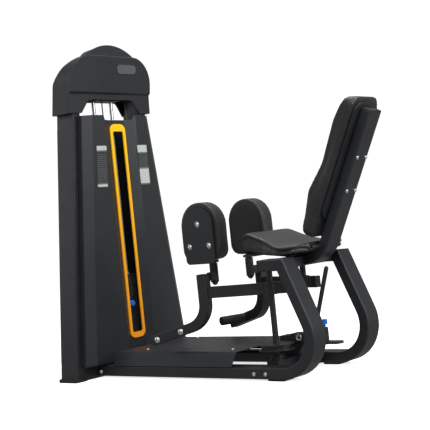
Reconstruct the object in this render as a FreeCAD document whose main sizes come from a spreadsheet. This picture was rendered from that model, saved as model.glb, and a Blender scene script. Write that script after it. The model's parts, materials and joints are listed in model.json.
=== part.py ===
"""Seated hip abductor and adductor machine with a selectorised weight stack.

Frame: origin on the floor under the middle of the weight tower's bottom crossbar.
+X runs from the tower to the seat, +Z is up, and the machine is symmetric about Y = 0.
"near" is the -Y side and "far" is the +Y side. Millimetres.
"""
import FreeCAD, Part
import math
import os
import sys

NEAR = -1
FAR = 1
SIDES = (("near", NEAR), ("far", FAR))

DRIVING_SIZES = {
    # weight tower
    "post_depth": 107, "post_front": 48, "post_width": 46, "post_top": 1308, "tower_half": 371.2,
    "tower_lean": 0.1123, "shoe_length": 120, "shoe_thick": 14, "crossbar_depth": 90,
    "crossbar_low_top": 50, "rod_plate_base": 1249, "rod_plate_thick": 6,
    # guards and slot frame
    "sheet": 2.5, "guard_base": 66, "guard_top": 1175, "guard_recess_top": 1155, "guard_front_x": 105.5,
    "recess_x": 81, "slot_half": 33, "slot_base": 172, "slot_top": 1102, "slot_corner": 9,
    "slot_frame_half": 48.7, "slot_frame_base": 147, "slot_frame_top": 1136,
    "slot_frame_thick": 5,
    # head cover
    "head_wall": 4, "head_base": 1190, "head_half": 260, "head_brow": 1452,
    "head_shoulder": 130, "head_ridge": 1503,
    # weight stack
    "rod_dia": 18, "rod_offset": 57, "plate_thick": 24.6, "plate_pitch": 25,
    "plate_depth": 90, "plate_width": 280, "stack_base": 91.5, "plate_count": 13,
    "resting_count": 8, "stem_dia": 24, "stem_bore": 10, "pin_dia": 8, "cable_dia": 6,
    "carriage_thick": 20, "pulley_groove": 30, "pulley_outer": 36, "pulley_width": 14,
    # side frames, platform and seat frame
    "tube_half": 23, "frame_tube_width": 88.6, "frame_tube_y": 196.9, "rail_axis": 30,
    "rail_start": 45, "foot_height": 7, "platform_top": 114, "platform_half": 224,
    "platform_front": 145, "platform_rear": 837,
    "back_tube_half": 21, "back_tube_width": 88, "seat_tube_axis": 454.5,
    # moving arms
    "pivot_x": 963, "pivot_y": 117, "splay_deg": 16.5, "shaft_dia": 25, "lever_width": 30,
    "lever_tail": 70, "lever_base": 332, "lever_top": 378.5, "arm_reach": 292,
    "arm_tube_half": 21.5, "arm_tube_width": 50, "arm_top": 428, "arm_slope_deg": 14.4, "arm_end": 548,
    "peg_dia": 40, "peg_length": 125, "running_gap": 0.05,
    # thigh pads
    "pad_post_x": 680, "pad_post_y": 122, "pad_length": 198, "pad_base": 486,
    "pad_top": 731, "pad_thick": 73, "pad_plate_thick": 6, "pad_plate_width": 155,
    # cushions
    "back_pad_half": 100, "seat_nose_half": 150, "seat_wing_half": 190,
}

doc = FreeCAD.newDocument("HipMachine")
sheet = doc.addObject("Spreadsheet::Sheet", "Sizes")
for row, (alias, number) in enumerate(DRIVING_SIZES.items(), start=1):
    sheet.set("A%d" % row, alias)
    sheet.set("B%d" % row, str(number))
    sheet.setAlias("B%d" % row, alias)
doc.recompute()

SUB_PARTS = []
ALONG_X = FreeCAD.Rotation(FreeCAD.Vector(0, 1, 0), 90)
ALONG_Y = FreeCAD.Rotation(FreeCAD.Vector(1, 0, 0), -90)
UPRIGHT = FreeCAD.Rotation()


def size(alias):
    """The driving size in a sheet cell."""
    return float(sheet.get(alias))


def vec(x, y, z=0.0):
    return FreeCAD.Vector(x, y, z)


# ---- outlines -------------------------------------------------------------------------------

def rounded(corners):
    """Closed outline through (x, y, corner radius) as lines and arcs."""
    count = len(corners)
    arrive, depart, arcs = [], [], []
    for index, (x, y, radius) in enumerate(corners):
        here = vec(x, y)
        back = (vec(*corners[index - 1][:2]) - here).normalize()
        ahead = (vec(*corners[(index + 1) % count][:2]) - here).normalize()
        if radius <= 0:
            arrive.append(here)
            depart.append(here)
            arcs.append(None)
            continue
        half = back.getAngle(ahead) / 2
        reach = radius / math.tan(half)
        arrive.append(here + back * reach)
        depart.append(here + ahead * reach)
        centre = here + (back + ahead).normalize() * (radius / math.sin(half))
        middle = centre + (here - centre).normalize() * radius
        arcs.append(Part.Arc(arrive[-1], middle, depart[-1]))
    edges = []
    for index in range(count):
        if arcs[index]:
            edges.append(arcs[index])
        after = arrive[(index + 1) % count]
        if (after - depart[index]).Length > 1e-6:
            edges.append(Part.LineSegment(depart[index], after))
    return edges


def moved_path(path, distance):
    """An open path of (x, y, bend radius) moved to its left by distance, bends concentric."""
    points = [vec(x, y) for x, y, _ in path]
    headings = [(b - a).normalize() for a, b in zip(points, points[1:])]
    moved = []
    for index, (point, (_, _, radius)) in enumerate(zip(points, path)):
        before = headings[max(index - 1, 0)]
        after = headings[min(index, len(headings) - 1)]
        left_before = vec(-before.y, before.x)
        left_after = vec(-after.y, after.x)
        mitre = left_before + left_after
        shift = mitre * (distance / mitre.dot(left_before))
        turn = before.x * after.y - before.y * after.x
        bend = radius - math.copysign(distance, turn * distance) if radius else 0
        moved.append((point.x + shift.x, point.y + shift.y, bend))
    return moved


def strip(path, half):
    """Closed outline of a strip of constant width along an open path."""
    return rounded(moved_path(path, half) + moved_path(path, -half)[::-1])


def rectangle(x0, x1, y0, y1, radius=0):
    return rounded([(x0, y0, radius), (x1, y0, radius), (x1, y1, radius), (x0, y1, radius)])


# ---- features -------------------------------------------------------------------------------

def new_body(label, keep=True):
    body = doc.addObject("PartDesign::Body", label)
    body.Label = label
    if keep:
        SUB_PARTS.append(body)
    return body


def sketch_on(body, role, edges, offset=0):
    """A sketch on one of the body's origin planes, moved along the plane's normal."""
    plane = [item for item in body.Origin.OriginFeatures if item.Role == role][0]
    sketch = body.newObject("Sketcher::SketchObject", body.Label + "_sketch")
    sketch.AttachmentSupport = [(plane, "")]
    sketch.MapMode = "FlatFace"
    if offset:
        sketch.AttachmentOffset = FreeCAD.Placement(vec(0, 0, offset), UPRIGHT)
    sketch.addGeometry(edges, False)
    return sketch


def pad(body, role, edges, length, offset=0, both_ways=True):
    """Pad an outline by a sheet expression."""
    feature = body.newObject("PartDesign::Pad", body.Label + "_pad")
    feature.Profile = sketch_on(body, role, edges, offset)
    feature.Midplane = both_ways
    feature.setExpression("Length", length)
    doc.recompute()
    return feature


def pocket(body, role, edges, offset=0):
    """Cut an outline right through the body, both ways from its plane."""
    before = body.Shape.Volume
    feature = body.newObject("PartDesign::Pocket", body.Label + "_pocket")
    feature.Profile = sketch_on(body, role, edges, offset)
    feature.Type = "ThroughAll"
    feature.Midplane = True
    doc.recompute()
    if body.Shape.Volume > before - 1e-3:
        sys.exit(body.Label + ": a pocket removed nothing")
    return feature


def loft(body, role, sections):
    """Loft between outlines at two offsets along the plane's normal."""
    sketches = [sketch_on(body, role, edges, offset) for edges, offset in sections]
    feature = body.newObject("PartDesign::AdditiveLoft", body.Label + "_loft")
    feature.Profile = sketches[0]
    feature.Sections = sketches[1:]
    feature.Ruled = True
    doc.recompute()
    return feature


def round_edges(body, radius, wanted):
    """Fillet the edges of the body's tip that the wanted function picks."""
    tip = body.Tip
    names = ["Edge%d" % (i + 1) for i, edge in enumerate(tip.Shape.Edges) if wanted(edge)]
    feature = body.newObject("PartDesign::Fillet", body.Label + "_round")
    feature.Base = (tip, names)
    feature.Radius = radius
    doc.recompute()
    return feature


def straight_along(direction):
    """Picks straight edges that run along a direction."""
    unit = vec(*direction).normalize()

    def wanted(edge):
        if not isinstance(edge.Curve, Part.Line):
            return False
        return abs(edge.Curve.Direction.dot(unit)) > 0.999
    return wanted


def cylinder(name, radius, height, place, turn=UPRIGHT):
    """A Part cylinder whose radius and height are sheet expressions."""
    item = doc.addObject("Part::Cylinder", name)
    item.setExpression("Radius", radius)
    item.setExpression("Height", height)
    item.Placement = FreeCAD.Placement(vec(*place), turn)
    return item


def block(name, length, width, height, place, turn=UPRIGHT):
    """A Part box from sheet expressions, with its base centred on place."""
    item = doc.addObject("Part::Box", name)
    item.setExpression("Length", length)
    item.setExpression("Width", width)
    item.setExpression("Height", height)
    doc.recompute()
    centre = turn.multVec(vec(item.Length.Value / 2, item.Width.Value / 2, 0))
    item.Placement = FreeCAD.Placement(vec(*place) - centre, turn)
    return item


def cut(name, base, tool):
    item = doc.addObject("Part::Cut", name)
    item.Base = base
    item.Tool = tool
    return item


def fuse(name, members):
    item = doc.addObject("Part::MultiFuse", name)
    item.Shapes = members
    return item


def common(name, members):
    item = doc.addObject("Part::MultiCommon", name)
    item.Shapes = members
    return item


def group(name, members):
    """Separate identical solids in one sub-part."""
    item = doc.addObject("Part::Compound", name)
    item.Links = members
    return keep(item, name)


def keep(item, label):
    item.Label = label
    SUB_PARTS.append(item)
    return item


# ---- weight tower ---------------------------------------------------------------------------

def post_outer(height):
    """Half width of the tower over the posts' outer faces at a height."""
    return size("tower_half") - size("tower_lean") * height


def post_inner(height):
    return post_outer(height) - size("post_width")


def tower_posts():
    base, top = size("shoe_thick"), size("post_top")
    for name, side in SIDES:
        body = new_body("tower_post_" + name)
        corners = [(side * post_inner(base), base, 0), (side * post_outer(base), base, 0),
                   (side * post_outer(top), top, 0), (side * post_inner(top), top, 0)]
        pad(body, "YZ_Plane", rounded(corners), "Sizes.post_depth",
            offset=size("post_front") - size("post_depth") / 2)
        round_edges(body, 5, straight_along((0, -side * size("tower_lean"), 1)))
        behind_head = [(-70, 1180, 0), (-57.5, 1180, 0), (-33, top + 12, 0), (-70, top + 12, 0)]
        pocket(body, "XZ_Plane", rounded(behind_head))


def tower_feet():
    feet = []
    for name, side in SIDES:
        body = new_body("tower_foot_" + name, keep=False)
        body.Placement.Base = vec(0, side * 352, 0)
        half = size("shoe_length") / 2
        pad(body, "XY_Plane", rectangle(-half, half, -35, 35, 12), "Sizes.shoe_thick",
            both_ways=False)
        feet.append(body)
    group("tower_feet", feet)


def crossbars():
    low = new_body("tower_crossbar_bottom")
    shoe, top = size("shoe_thick"), size("crossbar_low_top")
    shoe_edge = 352 - 35
    half = [(shoe_edge, 0, 0), (shoe_edge, shoe, 0), (post_inner(shoe), shoe, 0),
            (post_inner(top), top, 0)]
    other = [(-y, z, 0) for y, z, _ in half[::-1]]
    pad(low, "YZ_Plane", rounded(half + other), "Sizes.crossbar_depth")
    high = new_body("tower_crossbar_top")
    base, top = size("rod_plate_base") + size("rod_plate_thick"), size("post_top")
    half = [(post_inner(base), base, 0), (post_inner(top), top, 0)]
    other = [(-y, z, 0) for y, z, _ in half[::-1]]
    pad(high, "YZ_Plane", rounded(half + other), "Sizes.crossbar_depth / 3", offset=14,
        both_ways=False)
    pad(high, "XY_Plane", rectangle(-14, 44, -76, 76, 6), "Sizes.rod_plate_thick",
        offset=size("rod_plate_base"), both_ways=False)
    cable_hole = [Part.Circle(vec(0, 0), vec(0, 0, 1), size("cable_dia"))]
    pocket(high, "XY_Plane", cable_hole)


HEAD_FRONT = ((72, 1285), (96, 1452))


def head_front(body, inset):
    """Front silhouette: upright skirts, round shoulders and a flat top edge."""
    half, top = size("head_half") - inset, size("head_brow") - inset
    base = size("head_base") - (inset and 10)
    radius = size("head_shoulder") - inset
    pad(body, "YZ_Plane", rounded([(-half, base, 0), (half, base, 0), (half, top, radius),
                                   (-half, top, radius)]), "Sizes.head_half")
    return body


def head_side(body, inset):
    """Side silhouette: the front leans forward and the shoulders fall to the rear."""
    base = size("head_base") - (inset and 10)
    top = size("head_brow") - inset
    (low_x, low_z), (high_x, _) = HEAD_FRONT
    corners = [(-63 + inset, base, 0), (-40 + inset, 1330, 60), (6 + inset, 1404 - inset, 40),
               (58, top, 25), (high_x - inset, top, 6), (low_x - inset, low_z, 0),
               (low_x - 10 - inset, low_z - 9, 0), (58 - inset, base, 0)]
    pad(body, "XZ_Plane", rounded(corners), "2 * Sizes.head_half")
    return body


def dome(half, base, top, inset):
    """Section of the ridge: a low arch that stands on the head's brow."""
    crown = top - inset
    spring = base + inset
    return [Part.Arc(vec(half - inset, spring), vec(0, crown), vec(inset - half, spring)),
            Part.LineSegment(vec(inset - half, spring), vec(inset - half, 1380)),
            Part.LineSegment(vec(inset - half, 1380), vec(half - inset, 1380)),
            Part.LineSegment(vec(half - inset, 1380), vec(half - inset, spring))]


def head_hump(body, inset):
    """The ridge runs from front to rear over the middle of the head and narrows rearward."""
    top = size("head_ridge")
    loft(body, "YZ_Plane", [(dome(92, 1425, top - 4, inset), -42 + inset),
                            (dome(172, 1436, top, inset), 84 - inset)])
    return body


def head_cover():
    wall = size("head_wall")
    solids = []
    for name, inset in (("outer", 0), ("inner", wall)):
        front = head_front(new_body("head_front_" + name, keep=False), inset)
        side = head_side(new_body("head_side_" + name, keep=False), inset)
        hump = head_hump(new_body("head_hump_" + name, keep=False), inset)
        hood = common("head_hood_" + name, [front, side])
        solids.append(fuse("head_" + name, [hood, hump]))
    doorway = new_body("head_doorway", keep=False)
    doorway.Placement.Base = vec(20, 0, 0)
    arch = [(-192, 1170, 0), (192, 1170, 0), (190, 1190, 0), (140, 1253, 30), (-140, 1253, 30),
            (-190, 1190, 0)]
    pad(doorway, "YZ_Plane", rounded(arch), "2 * Sizes.post_depth")
    shell = cut("head_shell", solids[0], solids[1])
    keep(cut("head_with_doorway", shell, doorway), "head_cover")


def head_badge():
    """Plain oval plate that lies on the head's sloping front."""
    body = new_body("head_badge")
    (low_x, low_z), (high_x, high_z) = HEAD_FRONT
    slope = (high_x - low_x) / (high_z - low_z)
    badge_z = 1393
    front_x = low_x + slope * (badge_z - low_z)
    turn = FreeCAD.Rotation(vec(0, 1, 0), 90 + math.degrees(math.atan(slope)))
    body.Placement = FreeCAD.Placement(vec(front_x + 0.1, 96, badge_z), turn)
    pad(body, "XY_Plane", rectangle(-21, 21, -62, 62, 20), "Sizes.sheet", both_ways=False)


def guard_outline(height):
    """Plan of the folded front guard at a height."""
    fold = 303.8 - 0.1114 * height
    recess = 80.7 + 0.0223 * height
    front, rear = size("guard_front_x"), size("recess_x")
    skin = size("sheet") / 2
    half = [(49, fold + 40, 0), (77, fold + 40, 0), (front - skin, fold, 0),
            (front - skin, recess, 0), (rear - skin, 52, 0)]
    other = [(x, -y, 0) for x, y, _ in half[::-1]]
    return strip(half + other, skin)


def front_guard():
    body = new_body("guard_front")
    base, top = size("guard_base"), size("guard_top")
    loft(body, "XY_Plane", [(guard_outline(base), base), (guard_outline(top), top)])
    slot = size("slot_half")
    window = rectangle(-slot, slot, size("slot_base"), size("slot_top"), size("slot_corner"))
    pocket(body, "YZ_Plane", window)
    low = size("guard_recess_top")
    dip = [(-100, top + 1, 0), (-88, low, 0), (88, low, 0), (100, top + 1, 0)]
    pocket(body, "YZ_Plane", rounded(dip))


def rear_guard():
    body = new_body("guard_rear")
    rear = size("post_front") - size("post_depth")
    body.Placement.Base = vec(rear - size("sheet") / 2, 0, 0)
    base, top = size("guard_base"), 1140
    corners = [(post_outer(base) - 4, base, 20), (post_outer(top) - 4, top, 20)]
    other = [(-y, z, radius) for y, z, radius in corners[::-1]]
    pad(body, "YZ_Plane", rounded(corners + other), "Sizes.sheet")


def slot_frame():
    body = new_body("slot_frame")
    body.Placement.Base = vec(size("recess_x"), 0, 0)
    half = size("slot_frame_half")
    outer = rectangle(-half, half, size("slot_frame_base"), size("slot_frame_top"), 30)
    pad(body, "YZ_Plane", outer, "Sizes.slot_frame_thick", both_ways=False)
    slot = size("slot_half")
    opening = rectangle(-slot, slot, size("slot_base"), size("slot_top"), size("slot_corner"))
    pocket(body, "YZ_Plane", opening)


def placards():
    plates = []
    for name, y, tilt in (("near", -144, -5.5), ("far", 129, 0)):
        body = new_body("placard_" + name, keep=False)
        turn = FreeCAD.Rotation(FreeCAD.Vector(1, 0, 0), tilt)
        body.Placement = FreeCAD.Placement(vec(size("guard_front_x"), y, 942), turn)
        pad(body, "YZ_Plane", rectangle(-31, 31, -97, 97, 8), "Sizes.sheet / 2",
            both_ways=False)
        plates.append(body)
    group("placards", plates)


# ---- weight stack ---------------------------------------------------------------------------

def rod_places():
    return (-size("rod_offset"), size("rod_offset"))


def guide_rods():
    rods = []
    for index, y in enumerate(rod_places()):
        rods.append(cylinder("rod_%d" % index, "Sizes.rod_dia / 2",
                             "Sizes.rod_plate_base - Sizes.crossbar_low_top",
                             (0, y, size("crossbar_low_top"))))
    group("guide_rods", rods)


def rubber_bumpers():
    rings = []
    for index, y in enumerate(rod_places()):
        base = size("crossbar_low_top")
        tall = "Sizes.stack_base - Sizes.crossbar_low_top"
        outer = cylinder("bumper_%d" % index, "Sizes.rod_dia * 1.6", tall, (0, y, base))
        bore = cylinder("bumper_bore_%d" % index, "Sizes.rod_dia / 2 + 0.4", tall, (0, y, base))
        rings.append(cut("bumper_ring_%d" % index, outer, bore))
    group("rubber_bumpers", rings)


def weight_plate(index):
    """One cast plate with rod bores, a stem bore and the selector pin's hole."""
    body = new_body("weight_plate_%02d" % (index + 1), keep=False)
    depth, width = size("plate_depth") / 2, size("plate_width") / 2
    body.Placement.Base = vec(0, 0, size("stack_base") + index * size("plate_pitch"))
    pad(body, "XY_Plane", rectangle(-depth, depth, -width, width, 6), "Sizes.plate_thick",
        both_ways=False)
    bores = [Part.Circle(vec(0, y), vec(0, 0, 1), size("rod_dia") / 2 + 1) for y in rod_places()]
    bores.append(Part.Circle(vec(0, 0), vec(0, 0, 1), size("stem_dia") / 2 + 1))
    pocket(body, "XY_Plane", bores)
    middle = size("plate_thick") / 2
    hole = [Part.Circle(vec(0, middle), vec(0, 0, 1), size("pin_dia") / 2 + 0.75)]
    feature = body.newObject("PartDesign::Pocket", body.Label + "_pin_hole")
    feature.Profile = sketch_on(body, "YZ_Plane", hole)
    feature.Type = "ThroughAll"
    feature.Reversed = True
    doc.recompute()
    return body


def weight_plates():
    resting = int(size("resting_count"))
    plates = [weight_plate(index) for index in range(int(size("plate_count")))]
    group("weight_plates_resting", plates[:resting])
    group("weight_plates_lifted", plates[resting:])


def stack_top():
    return size("stack_base") + size("plate_count") * size("plate_pitch")


def pin_height():
    """The selector pin's axis, through the lowest lifted plate."""
    index = size("resting_count")
    return size("stack_base") + index * size("plate_pitch") + size("plate_thick") / 2


def weight_carriage():
    depth, width = size("plate_depth") / 2, size("plate_width") / 2
    body = new_body("weight_carriage")
    body.Placement.Base = vec(0, 0, stack_top())
    pad(body, "XY_Plane", rectangle(-depth, depth, -width, width, 10), "Sizes.carriage_thick",
        both_ways=False)
    stem_ring = [Part.Circle(vec(0, 0), vec(0, 0, 1), size("stem_dia") / 2)]
    stem = body.newObject("PartDesign::Pad", "stem_pad")
    stem.Profile = sketch_on(body, "XY_Plane", stem_ring)
    stem.Reversed = True
    stem.setExpression("Length", "Sizes.plate_count * Sizes.plate_pitch - 4")
    doc.recompute()
    bores = [Part.Circle(vec(0, y), vec(0, 0, 1), size("rod_dia") / 2 + 5) for y in rod_places()]
    bores.append(Part.Circle(vec(0, 0), vec(0, 0, 1), size("stem_bore") / 2))
    pocket(body, "XY_Plane", bores)
    holes = []
    for index in range(int(size("plate_count"))):
        drop = (index + 1) * size("plate_pitch") - size("plate_thick") / 2
        holes.append(Part.Circle(vec(0, -drop), vec(0, 0, 1), size("pin_dia") / 2 + 0.75))
    pocket(body, "YZ_Plane", holes)


def carriage_bushes():
    bushes = []
    for index, y in enumerate(rod_places()):
        base = (0, y, stack_top())
        outer = cylinder("bush_%d" % index, "Sizes.rod_dia / 2 + 4.95",
                         "Sizes.carriage_thick + 12", base)
        bore = cylinder("bush_bore_%d" % index, "Sizes.rod_dia / 2 + Sizes.running_gap",
                        "Sizes.carriage_thick + 12", base)
        bushes.append(cut("bush_ring_%d" % index, outer, bore))
    group("carriage_bushes", bushes)


def selector_pin():
    pin = cylinder("selector_pin", "Sizes.pin_dia / 2", "46", (4, 0, pin_height()), ALONG_X)
    keep(pin, "selector_pin")
    body = new_body("selector_knob")
    body.Placement = FreeCAD.Placement(vec(50, 0, pin_height()), ALONG_X)
    edges = [Part.Circle(vec(0, 0), vec(0, 0, 1), 14)]
    pad(body, "XY_Plane", edges, "24", both_ways=False)
    round_edges(body, 4, lambda edge: isinstance(edge.Curve, Part.Circle))


def pulley(label, centre, axis_turn):
    """A grooved wheel with a bore for its axle; the groove is half round."""
    groove, outer = size("pulley_groove"), size("pulley_outer")
    half = size("pulley_width") / 2
    cable = size("cable_dia") / 2 + 0.3
    body = new_body(label)
    body.Placement = FreeCAD.Placement(vec(*centre), axis_turn)
    bore = 6 + size("running_gap")
    edges = rounded([(bore, -half, 0), (outer, -half, 0), (outer, -cable - 1, 0),
                     (groove - cable, -cable, 0), (groove - cable, cable, 0),
                     (outer, cable + 1, 0), (outer, half, 0), (bore, half, 0)])
    feature = body.newObject("PartDesign::Revolution", label + "_turned")
    feature.Profile = sketch_on(body, "XZ_Plane", edges)
    feature.ReferenceAxis = ([item for item in body.Origin.OriginFeatures
                              if item.Role == "Z_Axis"][0], [""])
    doc.recompute()


HEAD_PULLEY_Z = 1294
BASE_PULLEY_Z = 90


def cable_drop():
    """Y of the cable's return run, outside the plates."""
    return size("plate_width") / 2 + 15


def pulleys():
    groove = size("pulley_groove")
    pulley("head_pulley_middle", (0, groove, HEAD_PULLEY_Z), ALONG_X)
    pulley("head_pulley_side", (0, cable_drop() - groove, HEAD_PULLEY_Z), ALONG_X)
    pulley("base_pulley", (groove, cable_drop(), BASE_PULLEY_Z), ALONG_Y)


def pulley_brackets():
    """Each pulley turns on an axle that stands out of a block welded to its crossbar."""
    groove, drop = size("pulley_groove"), cable_drop()
    reach = size("pulley_width") / 2 + 3
    members = []
    for index, y in enumerate((groove, drop - groove)):
        axle = cylinder("head_axle_%d" % index, "6", "14 + %g" % reach,
                        (-reach, y, HEAD_PULLEY_Z), ALONG_X)
        washer = cylinder("head_washer_%d" % index, "10", "3", (-reach, y, HEAD_PULLEY_Z), ALONG_X)
        members.append(fuse("head_bracket_%d" % index, [axle, washer]))
    cheek = new_body("base_cheek", keep=False)
    cheek.Placement.Base = vec(groove, drop + reach + 3, 0)
    pad(cheek, "XZ_Plane", rounded([(-14, size("crossbar_low_top"), 0),
                                    (14, size("crossbar_low_top"), 0),
                                    (14, BASE_PULLEY_Z + 14, 13), (-14, BASE_PULLEY_Z + 14, 13)]),
        "6")
    axle = cylinder("base_axle", "6", "%g" % (2 * reach + 3),
                    (groove, drop - reach, BASE_PULLEY_Z), ALONG_Y)
    washer = cylinder("base_washer", "10", "3", (groove, drop - reach, BASE_PULLEY_Z), ALONG_Y)
    members.append(fuse("base_bracket", [cheek, axle, washer]))
    group("pulley_brackets", members)


def lift_cable():
    """From inside the hollow stem over both head pulleys, down and out under the platform."""
    groove, drop = size("pulley_groove"), cable_drop()
    top, bend = HEAD_PULLEY_Z, math.sqrt(0.5)
    end_x = size("pivot_x") - 30
    low = BASE_PULLEY_Z - groove
    path = [Part.LineSegment(vec(0, 0, 420), vec(0, 0, top)),
            Part.Arc(vec(0, 0, top), vec(0, groove * (1 - bend), top + groove * bend),
                     vec(0, groove, top + groove)),
            Part.LineSegment(vec(0, groove, top + groove), vec(0, drop - groove, top + groove)),
            Part.Arc(vec(0, drop - groove, top + groove),
                     vec(0, drop - groove * (1 - bend), top + groove * bend), vec(0, drop, top)),
            Part.LineSegment(vec(0, drop, top), vec(0, drop, BASE_PULLEY_Z)),
            Part.Arc(vec(0, drop, BASE_PULLEY_Z),
                     vec(groove * (1 - bend), drop, BASE_PULLEY_Z - groove * bend),
                     vec(groove, drop, low)),
            Part.LineSegment(vec(groove, drop, low), vec(end_x, drop, low))]
    wire = Part.Wire([item.toShape() for item in path])
    ring = Part.Wire([Part.Circle(vec(0, 0, 420), vec(0, 0, 1), size("cable_dia") / 2).toShape()])
    item = doc.addObject("Part::Feature", "lift_cable")
    item.Shape = wire.makePipeShell([ring], True, True)
    keep(item, "lift_cable")


# ---- base, side frames and platform ---------------------------------------------------------

def side_frame_path():
    """Centre line: floor rail, rounded heel, leaning rear leg and seat bar."""
    return [(size("rail_start"), size("rail_axis"), 0), (1281.9, size("rail_axis"), 141.5),
            (1106.5, 453.3, 0), (1001, 453.3, 0)]


def side_frames():
    for name, side in SIDES:
        body = new_body("side_frame_" + name)
        body.Placement.Base = vec(0, side * size("frame_tube_y"), 0)
        pad(body, "XZ_Plane", strip(side_frame_path(), size("tube_half")),
            "Sizes.frame_tube_width")
        round_edges(body, 7, lambda edge: not straight_along((0, 1, 0))(edge)
                    and abs(edge.CenterOfMass.y) > 1 and edge.BoundBox.XMin > 46)


def frame_feet():
    feet = []
    for name, side in SIDES:
        body = new_body("frame_foot_" + name, keep=False)
        body.Placement.Base = vec(1029, side * size("frame_tube_y"), 0)
        pad(body, "XY_Plane", rectangle(-41, 41, -38, 38, 10), "Sizes.foot_height",
            both_ways=False)
        feet.append(body)
    group("frame_feet", feet)


def bolt(name, place, turn):
    """A dome head screw seen from outside; its shank is inside the tube and left out."""
    body = new_body(name, keep=False)
    body.Placement = FreeCAD.Placement(vec(*place), turn)
    pad(body, "XY_Plane", [Part.Circle(vec(0, 0), vec(0, 0, 1), 8)], "5", both_ways=False)
    round_edges(body, 3, lambda edge: edge.CenterOfMass.z > 4)
    return body


def frame_bolts():
    bolts = []
    for name, side in SIDES:
        outward = FreeCAD.Rotation(vec(1, 0, 0), -90 * side)
        face = size("frame_tube_y") + size("frame_tube_width") / 2
        for index, x in enumerate((932, 989)):
            place = (x, side * face, size("rail_axis") - 2)
            bolts.append(bolt("rail_bolt_%s%d" % (name, index), place, outward))
        for index, (x, y) in enumerate(((297, 168), (774, 166))):
            bolts.append(bolt("platform_bolt_%s%d" % (name, index),
                              (x, side * y, size("platform_top")), UPRIGHT))
        lean = back_lean()
        for index, along in enumerate((187, 326)):
            rear = back_point(along, size("back_tube_half"))
            bolts.append(bolt("back_bolt_%s%d" % (name, index), (rear.x, side * 30, rear.z),
                              FreeCAD.Rotation(vec(0, 1, 0), 90 + lean)))
    group("frame_bolts", bolts)


def platform_cover():
    """Folded sheet over the cable run, with both ends cut on a slant."""
    body = new_body("platform_cover")
    top, rail_top = size("platform_top"), size("rail_axis") + size("tube_half")
    skin = size("sheet") / 2
    half = size("platform_half")
    path = [(half + 17, rail_top + 0.5, 0), (half, top - skin, 10), (-half, top - skin, 10),
            (-half - 17, rail_top + 0.5, 0)]
    pad(body, "YZ_Plane", strip(path, skin), "Sizes.platform_rear - Sizes.platform_front",
        offset=size("platform_front"), both_ways=False)
    pocket(body, "XZ_Plane", rounded([(130, rail_top + 4, 0), (148, rail_top + 4, 0),
                                      (172, top + 20, 0), (130, top + 20, 0)]))
    pocket(body, "XZ_Plane", rounded([(850, top + 20, 0), (843, top + 20, 0),
                                      (816, rail_top - 10, 0), (850, rail_top - 10, 0)]))


def pivot_beam():
    body = new_body("pivot_beam")
    body.Placement.Base = vec(size("pivot_x"), 0, 0)
    inner = size("frame_tube_y") - size("frame_tube_width") / 2
    pad(body, "YZ_Plane", rectangle(-inner, inner, 10, 66), "60")


def sheave_block():
    """Housing on the pivot beam that leads the cable to both drums."""
    body = new_body("sheave_block")
    corners = [(935, 66, 0), (991, 66, 0), (1030, 112, 8), (1030, 158, 6), (972, 158, 4),
               (966, 150, 4), (915, 150, 6), (915, 104, 8)]
    pad(body, "XZ_Plane", rounded(corners), "52")


def shaft_bearings():
    rings = []
    for name, side in SIDES:
        place = (size("pivot_x"), side * size("pivot_y"), 66)
        outer = cylinder("low_bearing_" + name, "Sizes.shaft_dia", "20", place)
        bore = cylinder("low_bearing_bore_" + name, "Sizes.shaft_dia / 2 + Sizes.running_gap",
                        "20", place)
        rings.append(cut("low_bearing_ring_" + name, outer, bore))
    group("pivot_bearings", rings)


def bearing_bridge():
    """Casting under the seat that carries the top of both pivot shafts."""
    body = new_body("bearing_bridge")
    rear = 1001 - size("pivot_x")
    ear, y = 22, size("pivot_y")
    body.Placement.Base = vec(size("pivot_x"), 0, 436)
    half = [(rear, y + ear, 0), (0, y + ear, 0), (-ear, y + ear, ear - 0.5),
            (-ear, y - ear, 10), (4, y - ear, 6)]
    other = [(x, -y, radius) for x, y, radius in half[::-1]]
    pad(body, "XY_Plane", rounded(half + other), "34", both_ways=False)
    bores = [Part.Circle(vec(0, side * y), vec(0, 0, 1),
                         size("shaft_dia") / 2 + size("running_gap")) for side in (NEAR, FAR)]
    pocket(body, "XY_Plane", bores)


def seat_cross_tubes():
    tubes = []
    inner = size("frame_tube_y") - size("frame_tube_width") / 2
    start = size("back_tube_width") / 2
    for name, side in SIDES:
        body = new_body("seat_cross_" + name, keep=False)
        body.Placement.Base = vec(1067, 0, 0)
        ends = sorted((side * start, side * inner))
        pad(body, "YZ_Plane", rectangle(ends[0], ends[1], 434, 472), "50")
        tubes.append(body)
    group("seat_cross_tubes", tubes)


# ---- seat and back --------------------------------------------------------------------------

def back_lean():
    """Lean of the back tube from upright, degrees."""
    return math.degrees(math.atan(0.5117))


def back_point(along, behind):
    """Point on the back tube: along it from its top, and behind its centre line."""
    lean = math.radians(back_lean())
    top = vec(1442, 0, 1011)
    down = vec(-math.sin(lean), 0, -math.cos(lean))
    rearward = vec(math.cos(lean), 0, -math.sin(lean))
    return top + down * along + rearward * behind


def back_path(front_end):
    top = back_point(0, 0)
    corner_x = top.x - 0.5117 * (top.z - size("seat_tube_axis"))
    return [(front_end, size("seat_tube_axis"), 0), (corner_x, size("seat_tube_axis"), 128),
            (top.x, top.z, 0)]


def back_tube():
    body = new_body("back_tube")
    pad(body, "XZ_Plane", strip(back_path(1001), size("back_tube_half")),
        "Sizes.back_tube_width")
    round_edges(body, 6, lambda edge: not straight_along((0, 1, 0))(edge)
                and abs(edge.CenterOfMass.y) > 1 and edge.BoundBox.XMin > 1001.5)


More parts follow.
